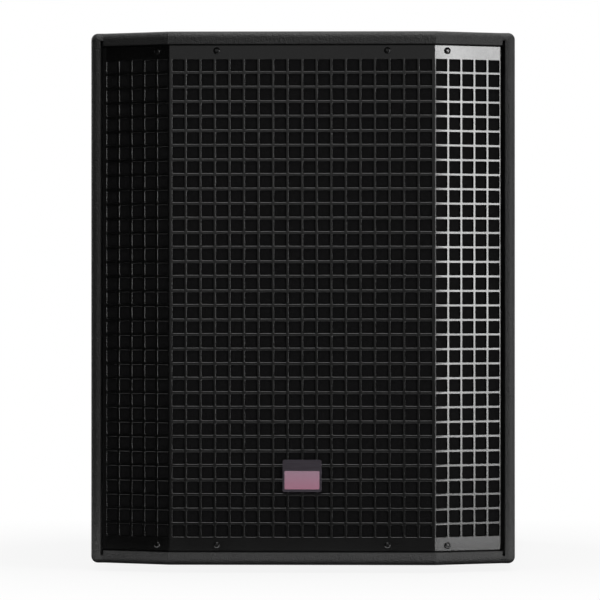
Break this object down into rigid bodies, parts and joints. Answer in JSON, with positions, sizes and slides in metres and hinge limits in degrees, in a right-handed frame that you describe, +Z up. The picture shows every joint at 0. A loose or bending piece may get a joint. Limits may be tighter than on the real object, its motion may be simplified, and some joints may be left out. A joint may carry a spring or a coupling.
{
  "type": "subwoofer cabinet",
  "caption": "Upright black subwoofer cabinet with a bay front behind a bent perforated grille, side handles, a pole socket on top and a powered rear panel.",
  "frame": {"origin": "on the floor, under the middle of the cabinet's outside box", "axes": "+X to the right seen from the front, +Y to the back, +Z up; the grille faces -Y"},
  "size_m": [0.44, 0.6, 0.558],
  "materials": {
    "textured_paint": "black textured paint on birch plywood",
    "bare_plywood": "bare birch plywood",
    "baffle_paint": "matt black paint on plywood",
    "grille_steel": "satin black powder coat on steel",
    "acoustic_foam": "open-cell black foam",
    "black_screw": "black zinc",
    "badge_frame": "dark anodised aluminium",
    "rose_enamel": "rose enamel",
    "black_steel": "black powder coat",
    "moulded_plastic": "grained black plastic",
    "grip_rubber": "ribbed soft grip",
    "foot_rubber": "black rubber",
    "gasket_foam": "closed-cell sealing strip",
    "cast_basket": "black coated casting",
    "treated_cloth": "doped cloth",
    "cone_paper": "black paper pulp",
    "former_film": "amber polyimide film",
    "copper_wire": "enamelled copper",
    "spider_cloth": "phenolic cloth",
    "zinc_steel": "zinc plate",
    "ferrite": "sintered ferrite",
    "fibre_board": "terminal fibre board",
    "cable_jacket": "black cable jacket",
    "panel_aluminium": "black anodised sheet",
    "sheet_steel": "galvanised sheet",
    "sink_aluminium": "black anodised extrusion",
    "circuit_board": "green solder mask",
    "socket_plastic": "black nylon",
    "latch_metal": "nickel",
    "knob_plastic": "soft-touch black",
    "button_plastic": "light grey",
    "fuse_glass": "glass tube with metal caps",
    "green_lens": "tinted lens"
  },
  "bodies": {
    "cabinet": {"top_panel": "textured_paint", "bottom_panel": "textured_paint", "left_side_panel": "textured_paint", "right_side_panel": "textured_paint", "rear_panel": "textured_paint", "front_baffle": "baffle_paint", "port_shelf": "baffle_paint", "port_brace": "bare_plywood", "window_brace": "bare_plywood", "top_grille_batten": "baffle_paint", "bottom_grille_batten": "baffle_paint", "grille": "grille_steel", "grille_foam": "acoustic_foam", "grille_screws": "black_screw", "badge": "badge_frame", "badge_inlay": "rose_enamel", "pole_socket": "black_steel", "left_handle_dish": "moulded_plastic", "right_handle_dish": "moulded_plastic", "left_handle_grip": "grip_rubber", "right_handle_grip": "grip_rubber", "fixing_screws": "black_screw", "rubber_feet": "foot_rubber", "driver_gasket": "gasket_foam", "driver_basket": "cast_basket", "driver_surround": "treated_cloth", "driver_spider": "spider_cloth", "driver_top_plate": "zinc_steel", "driver_magnet": "ferrite", "driver_pole_yoke": "zinc_steel", "driver_terminals": "fibre_board", "driver_bolts": "black_screw", "driver_tee_nuts": "zinc_steel", "speaker_cable": "cable_jacket", "amp_panel": "panel_aluminium", "amp_gasket": "gasket_foam", "amp_cover": "sheet_steel", "heat_sink": "sink_aluminium", "amp_screws": "black_screw", "amplifier_board": "circuit_board", "control_board": "circuit_board", "left_input_socket": "socket_plastic", "right_input_socket": "socket_plastic", "left_link_socket": "socket_plastic", "right_link_socket": "socket_plastic", "power_switch_body": "socket_plastic", "mains_inlet": "socket_plastic", "status_lenses": "green_lens"},
    "cone_assembly": {"driver_cone": "cone_paper", "dust_cap": "cone_paper", "voice_coil_former": "former_film", "voice_coil_winding": "copper_wire"},
    "level_control": {"level_knob": "knob_plastic"},
    "crossover_control": {"crossover_knob": "knob_plastic"},
    "polarity_control": {"polarity_button": "button_plastic"},
    "power_control": {"power_rocker": "knob_plastic"},
    "left_latch": {"left_input_latch": "latch_metal"},
    "right_latch": {"right_input_latch": "latch_metal"},
    "fuse_holder": {"fuse_drawer": "socket_plastic", "fuse": "fuse_glass"}
  },
  "joints": [
    {"name": "cone_travel", "type": "slide", "parent": "cabinet", "child": "cone_assembly", "axis": [0, -1, 0], "range_m": [-0.008, 0.008], "stiffness_N_per_m": 6000, "deforming": ["driver_surround", "driver_spider"]},
    {"name": "level_turn", "type": "hinge", "parent": "cabinet", "child": "level_control", "pos_m": [-0.045, 0.2765, 0.215], "axis": [0, -1, 0], "range_deg": [-150, 150]},
    {"name": "crossover_turn", "type": "hinge", "parent": "cabinet", "child": "crossover_control", "pos_m": [-0.088, 0.2765, 0.215], "axis": [0, -1, 0], "range_deg": [-150, 150]},
    {"name": "polarity_press", "type": "slide", "parent": "cabinet", "child": "polarity_control", "axis": [0, -1, 0], "range_m": [0, 0.002], "stiffness_N_per_m": 900},
    {"name": "power_rock", "type": "hinge", "parent": "cabinet", "child": "power_control", "pos_m": [-0.055, 0.2765, 0.141], "axis": [-1, 0, 0], "range_deg": [0, 16]},
    {"name": "left_latch_press", "type": "slide", "parent": "cabinet", "child": "left_latch", "axis": [0, -1, 0], "range_m": [0, 0.0015], "stiffness_N_per_m": 1200},
    {"name": "right_latch_press", "type": "slide", "parent": "cabinet", "child": "right_latch", "axis": [0, -1, 0], "range_m": [0, 0.0015], "stiffness_N_per_m": 1200},
    {"name": "fuse_drawer_pull", "type": "slide", "parent": "cabinet", "child": "fuse_holder", "axis": [0, 1, 0], "range_m": [0, 0.022]}
  ]
}
